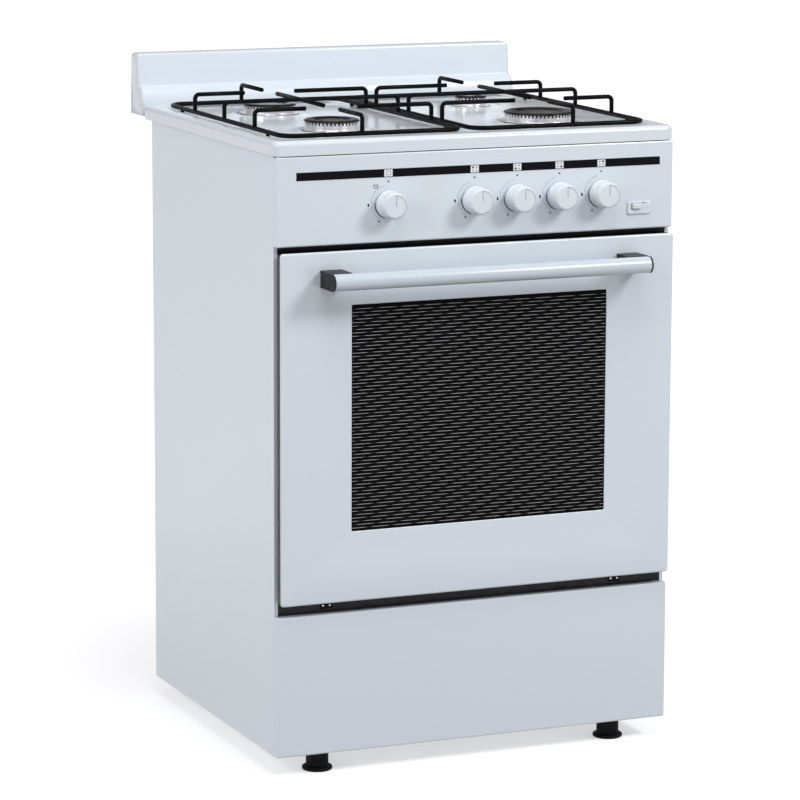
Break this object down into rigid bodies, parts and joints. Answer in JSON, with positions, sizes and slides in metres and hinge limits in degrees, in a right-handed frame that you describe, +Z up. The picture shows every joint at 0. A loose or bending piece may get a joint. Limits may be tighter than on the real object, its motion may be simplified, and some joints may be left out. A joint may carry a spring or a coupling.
{
  "type": "freestanding gas range",
  "caption": "Freestanding gas cooker with a drop-down oven door, sprung control taps, burners under wire pan supports and a rear upstand.",
  "frame": {"origin": "on the floor, under the middle of the bounding box", "axes": "+Z up, the front with the door faces -Y, +X to the right of a person standing in front"},
  "size_m": [0.6, 0.653, 0.953],
  "materials": {
    "white_enamel": "glossy white enamel",
    "black_enamel": "satin black enamel",
    "galvanised": "dull zinc coating",
    "steel": "plain steel",
    "chrome_wire": "bright plated wire",
    "aluminium": "die-cast, matt",
    "brass": "machined",
    "seal": "matt, soft",
    "dark_glass": "dark tinted, polished",
    "white_plastic": "semi-gloss white",
    "black_plastic": "satin black"
  },
  "bodies": {
    "carcass": {"side_panel_left": "white_enamel", "side_panel_right": "white_enamel", "rear_panel": "galvanised", "base_tray": "galvanised", "lower_front_panel": "white_enamel", "control_fascia": "white_enamel", "hob_top": "white_enamel", "backsplash": "white_enamel", "oven_cavity": "black_enamel", "oven_floor_plate": "black_enamel", "oven_burner": "steel", "rack_runner_left": "chrome_wire", "rack_runner_right": "chrome_wire", "door_gasket": "seal", "hinge_bracket_left": "steel", "hinge_bracket_right": "steel", "gas_manifold": "steel", "gas_inlet": "brass", "ignition_bezel": "white_plastic", "ignition_switch": "black_plastic", "burner_crown_front_left": "aluminium", "burner_crown_front_right": "aluminium", "burner_crown_rear_left": "aluminium", "burner_crown_rear_right": "aluminium", "valve_oven": "brass", "valve_rear_left": "brass", "valve_front_left": "brass", "valve_front_right": "brass", "valve_rear_right": "brass"},
    "door": {"door_outer_panel": "white_enamel", "door_window": "dark_glass", "door_inner_panel": "black_enamel", "door_inner_glass": "dark_glass", "handle_tube": "white_enamel", "handle_bracket_left": "black_plastic", "handle_bracket_right": "black_plastic", "hinge_leaf_left": "steel", "hinge_leaf_right": "steel"},
    "rack": {"oven_rack": "chrome_wire"},
    "ignition": {"ignition_button": "white_plastic"},
    "support_left": {"pan_support_left": "black_enamel"},
    "support_right": {"pan_support_right": "black_enamel"},
    "cap_front_left": {"burner_cap_front_left": "black_enamel"},
    "foot_front_left": {"foot_front_left": "black_plastic"},
    "cap_front_right": {"burner_cap_front_right": "black_enamel"},
    "foot_front_right": {"foot_front_right": "black_plastic"},
    "cap_rear_left": {"burner_cap_rear_left": "black_enamel"},
    "foot_rear_left": {"foot_rear_left": "black_plastic"},
    "cap_rear_right": {"burner_cap_rear_right": "black_enamel"},
    "foot_rear_right": {"foot_rear_right": "black_plastic"},
    "spindle_oven": {"spindle_oven": "steel"},
    "knob_oven": {"knob_oven": "white_plastic"},
    "spindle_rear_left": {"spindle_rear_left": "steel"},
    "knob_rear_left": {"knob_rear_left": "white_plastic"},
    "spindle_front_left": {"spindle_front_left": "steel"},
    "knob_front_left": {"knob_front_left": "white_plastic"},
    "spindle_front_right": {"spindle_front_right": "steel"},
    "knob_front_right": {"knob_front_right": "white_plastic"},
    "spindle_rear_right": {"spindle_rear_right": "steel"},
    "knob_rear_right": {"knob_rear_right": "white_plastic"}
  },
  "joints": [
    {"name": "oven_door", "type": "hinge", "parent": "carcass", "child": "door", "pos_m": [0, -0.256, 0.2481], "axis": [1, 0, 0], "range_deg": [0, 90]},
    {"name": "rack_slide", "type": "slide", "parent": "carcass", "child": "rack", "axis": [0, -1, 0], "range_m": [0, 0.26]},
    {"name": "ignition_press", "type": "slide", "parent": "carcass", "child": "ignition", "axis": [0, 1, 0], "range_m": [0, 0.003], "stiffness_N_per_m": 400},
    {"name": "support_left_lift", "type": "slide", "parent": "carcass", "child": "support_left", "axis": [0, 0, 1], "range_m": [0, 0.08]},
    {"name": "support_right_lift", "type": "slide", "parent": "carcass", "child": "support_right", "axis": [0, 0, 1], "range_m": [0, 0.08]},
    {"name": "cap_front_left_lift", "type": "slide", "parent": "carcass", "child": "cap_front_left", "axis": [0, 0, 1], "range_m": [0, 0.01]},
    {"name": "cap_front_right_lift", "type": "slide", "parent": "carcass", "child": "cap_front_right", "axis": [0, 0, 1], "range_m": [0, 0.01]},
    {"name": "cap_rear_left_lift", "type": "slide", "parent": "carcass", "child": "cap_rear_left", "axis": [0, 0, 1], "range_m": [0, 0.01]},
    {"name": "cap_rear_right_lift", "type": "slide", "parent": "carcass", "child": "cap_rear_right", "axis": [0, 0, 1], "range_m": [0, 0.01]},
    {"name": "foot_front_left_turn", "type": "hinge", "parent": "carcass", "child": "foot_front_left", "pos_m": [-0.2245, -0.2285, 0.015], "axis": [0, 0, 1], "continuous": true},
    {"name": "foot_front_right_turn", "type": "hinge", "parent": "carcass", "child": "foot_front_right", "pos_m": [0.2245, -0.2285, 0.015], "axis": [0, 0, 1], "continuous": true},
    {"name": "foot_rear_left_turn", "type": "hinge", "parent": "carcass", "child": "foot_rear_left", "pos_m": [-0.2245, 0.2105, 0.015], "axis": [0, 0, 1], "continuous": true},
    {"name": "foot_rear_right_turn", "type": "hinge", "parent": "carcass", "child": "foot_rear_right", "pos_m": [0.2245, 0.2105, 0.015], "axis": [0, 0, 1], "continuous": true},
    {"name": "tap_oven_turn", "type": "hinge", "parent": "carcass", "child": "spindle_oven", "pos_m": [-0.1349, -0.268, 0.79], "axis": [0, -1, 0], "range_deg": [0, 155]},
    {"name": "tap_oven_push", "type": "slide", "parent": "spindle_oven", "child": "knob_oven", "axis": [0, 1, 0], "range_m": [0, 0.003], "stiffness_N_per_m": 500},
    {"name": "tap_rear_left_turn", "type": "hinge", "parent": "carcass", "child": "spindle_rear_left", "pos_m": [-0.0069, -0.268, 0.79], "axis": [0, -1, 0], "range_deg": [0, 155]},
    {"name": "tap_rear_left_push", "type": "slide", "parent": "spindle_rear_left", "child": "knob_rear_left", "axis": [0, 1, 0], "range_m": [0, 0.003], "stiffness_N_per_m": 500},
    {"name": "tap_front_left_turn", "type": "hinge", "parent": "carcass", "child": "spindle_front_left", "pos_m": [0.0572, -0.268, 0.79], "axis": [0, -1, 0], "range_deg": [0, 155]},
    {"name": "tap_front_left_push", "type": "slide", "parent": "spindle_front_left", "child": "knob_front_left", "axis": [0, 1, 0], "range_m": [0, 0.003], "stiffness_N_per_m": 500},
    {"name": "tap_front_right_turn", "type": "hinge", "parent": "carcass", "child": "spindle_front_right", "pos_m": [0.1213, -0.268, 0.79], "axis": [0, -1, 0], "range_deg": [0, 155]},
    {"name": "tap_front_right_push", "type": "slide", "parent": "spindle_front_right", "child": "knob_front_right", "axis": [0, 1, 0], "range_m": [0, 0.003], "stiffness_N_per_m": 500},
    {"name": "tap_rear_right_turn", "type": "hinge", "parent": "carcass", "child": "spindle_rear_right", "pos_m": [0.1855, -0.268, 0.79], "axis": [0, -1, 0], "range_deg": [0, 155]},
    {"name": "tap_rear_right_push", "type": "slide", "parent": "spindle_rear_right", "child": "knob_rear_right", "axis": [0, 1, 0], "range_m": [0, 0.003], "stiffness_N_per_m": 500}
  ],
  "couplings": [
    {"joint": "rack_slide", "follows": "oven_door", "m_per_rad": 0.16}
  ]
}
